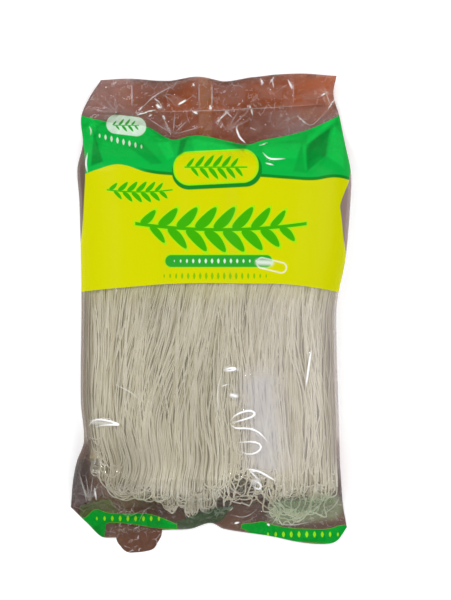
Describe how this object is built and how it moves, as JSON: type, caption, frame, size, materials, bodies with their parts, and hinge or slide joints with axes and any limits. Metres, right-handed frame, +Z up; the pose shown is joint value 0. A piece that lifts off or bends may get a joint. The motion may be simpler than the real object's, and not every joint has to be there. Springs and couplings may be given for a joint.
{
  "type": "bag of dried rice vermicelli",
  "caption": "Flat sealed film bag of dried rice vermicelli, lying on its back, with an empty crumpled header and a short foot.",
  "frame": {"origin": "centre of the footprint, on the surface that the bag lies on", "axes": "+X across the bag, +Y along it towards the empty header, +Z up through the printed front"},
  "size_m": [0.1947, 0.3331, 0.045],
  "materials": {
    "film_and_noodles": "clear glossy film over cream rice noodles",
    "printed_film": "glossy printed film, yellow and green",
    "rice_noodle": "dry satin rice noodle"
  },
  "bodies": {
    "root": {"vermicelli_bag": "film_and_noodles"}
  },
  "joints": []
}
